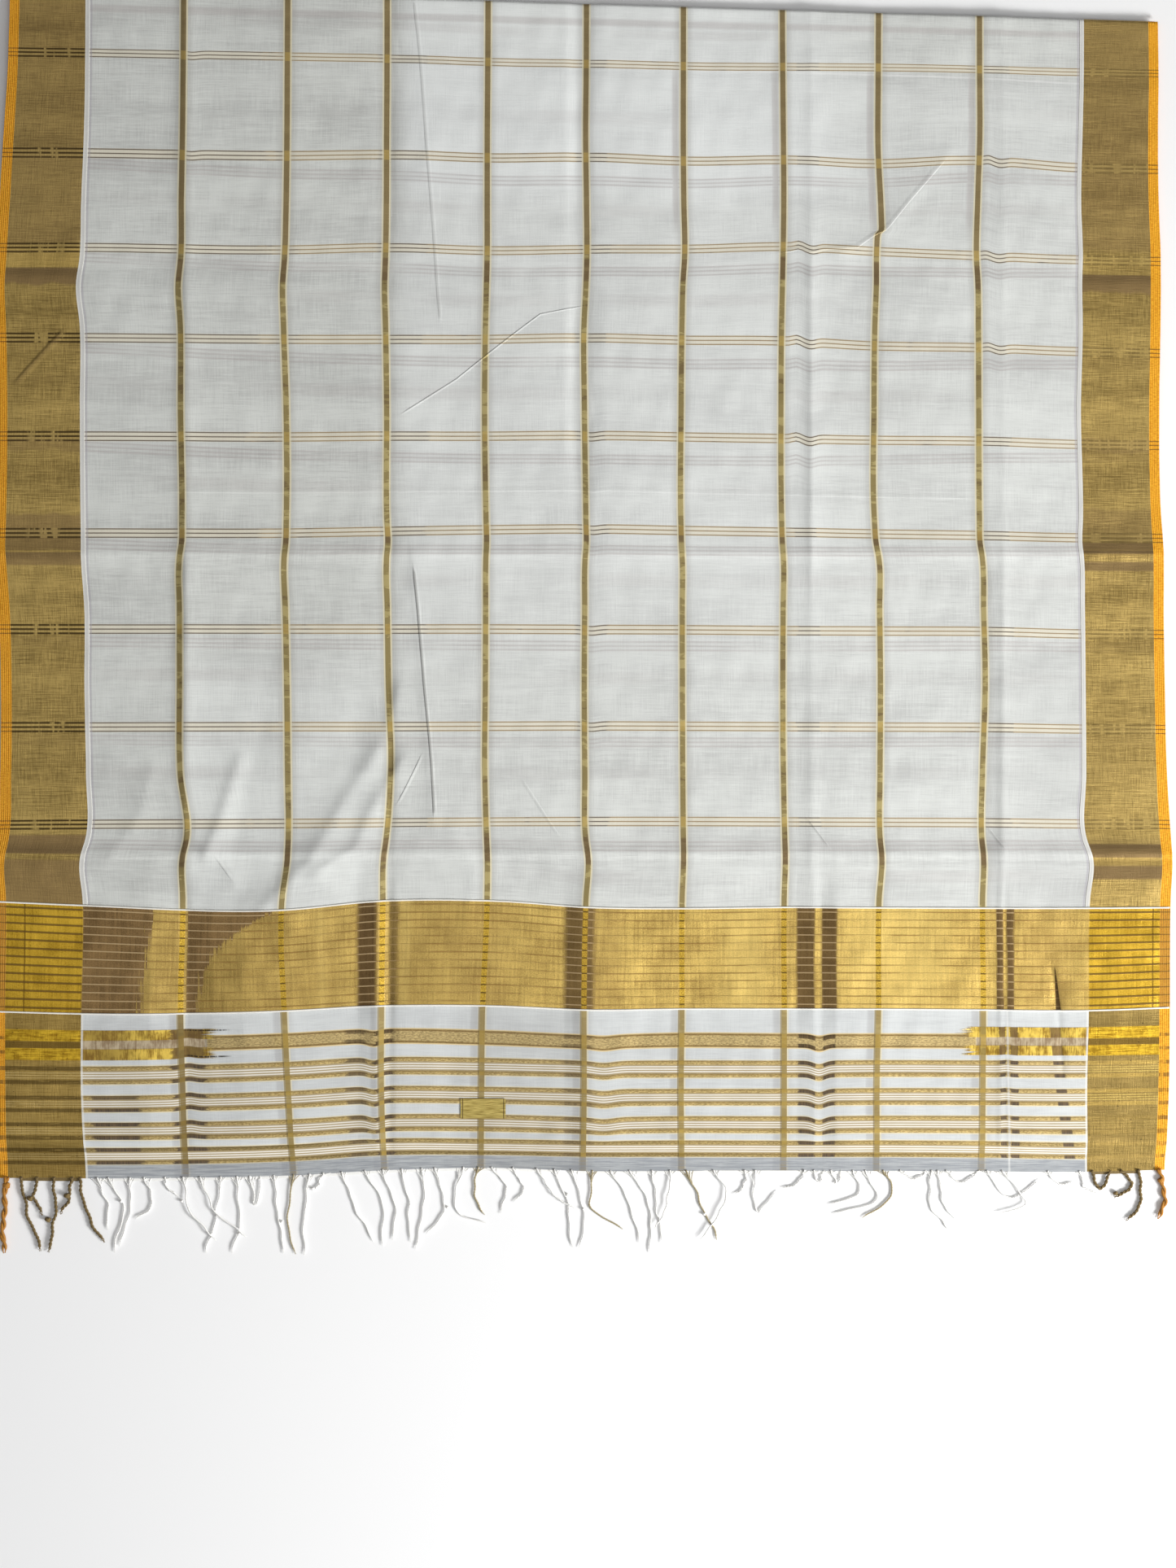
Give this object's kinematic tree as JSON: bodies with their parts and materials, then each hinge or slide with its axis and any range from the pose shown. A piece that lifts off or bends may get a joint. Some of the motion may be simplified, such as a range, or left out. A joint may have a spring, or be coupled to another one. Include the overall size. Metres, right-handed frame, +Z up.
{
  "type": "folded saree",
  "caption": "Handloom tissue saree laid out flat in folded layers, pallu end on top, with checked field, metallic borders, cross band, bare label and knotted thread fringe.",
  "frame": {"origin": "middle of the underside of the bounding box, on the surface that the saree lies on", "axes": "+X across the cloth from the left selvedge to the right one as seen from above, +Y from the fringe towards the folded top edge, +Z up"},
  "size_m": [1.1779, 1.2697, 0.014],
  "materials": {
    "field_cloth": "pale silver grey tissue silk, plain woven, faint sheen",
    "border_cloth": "antique gold metallic thread weave",
    "band_cloth": "bright gold metallic thread weave with thin dark cross lines",
    "selvedge_cloth": "dense yellow-orange woven edge",
    "label_cloth": "gold satin, bare",
    "thread": "loose twisted silver grey yarn",
    "cord": "twisted dark gold metallic yarn"
  },
  "bodies": {
    "root": {"under_layers": "field_cloth", "body_field": "field_cloth", "body_border_left": "border_cloth", "body_border_right": "border_cloth", "selvedge_left": "selvedge_cloth", "selvedge_right": "selvedge_cloth", "pallu_band": "band_cloth", "pallu_end_field": "field_cloth", "pallu_end_border_left": "border_cloth", "pallu_end_border_right": "border_cloth", "label": "label_cloth", "tassel_left": "selvedge_cloth", "fringe_left": "cord", "fringe_field_1": "thread", "fringe_field_2": "thread", "fringe_field_3": "thread", "fringe_field_4": "thread", "fringe_right": "cord", "tassel_right": "selvedge_cloth"}
  },
  "joints": []
}
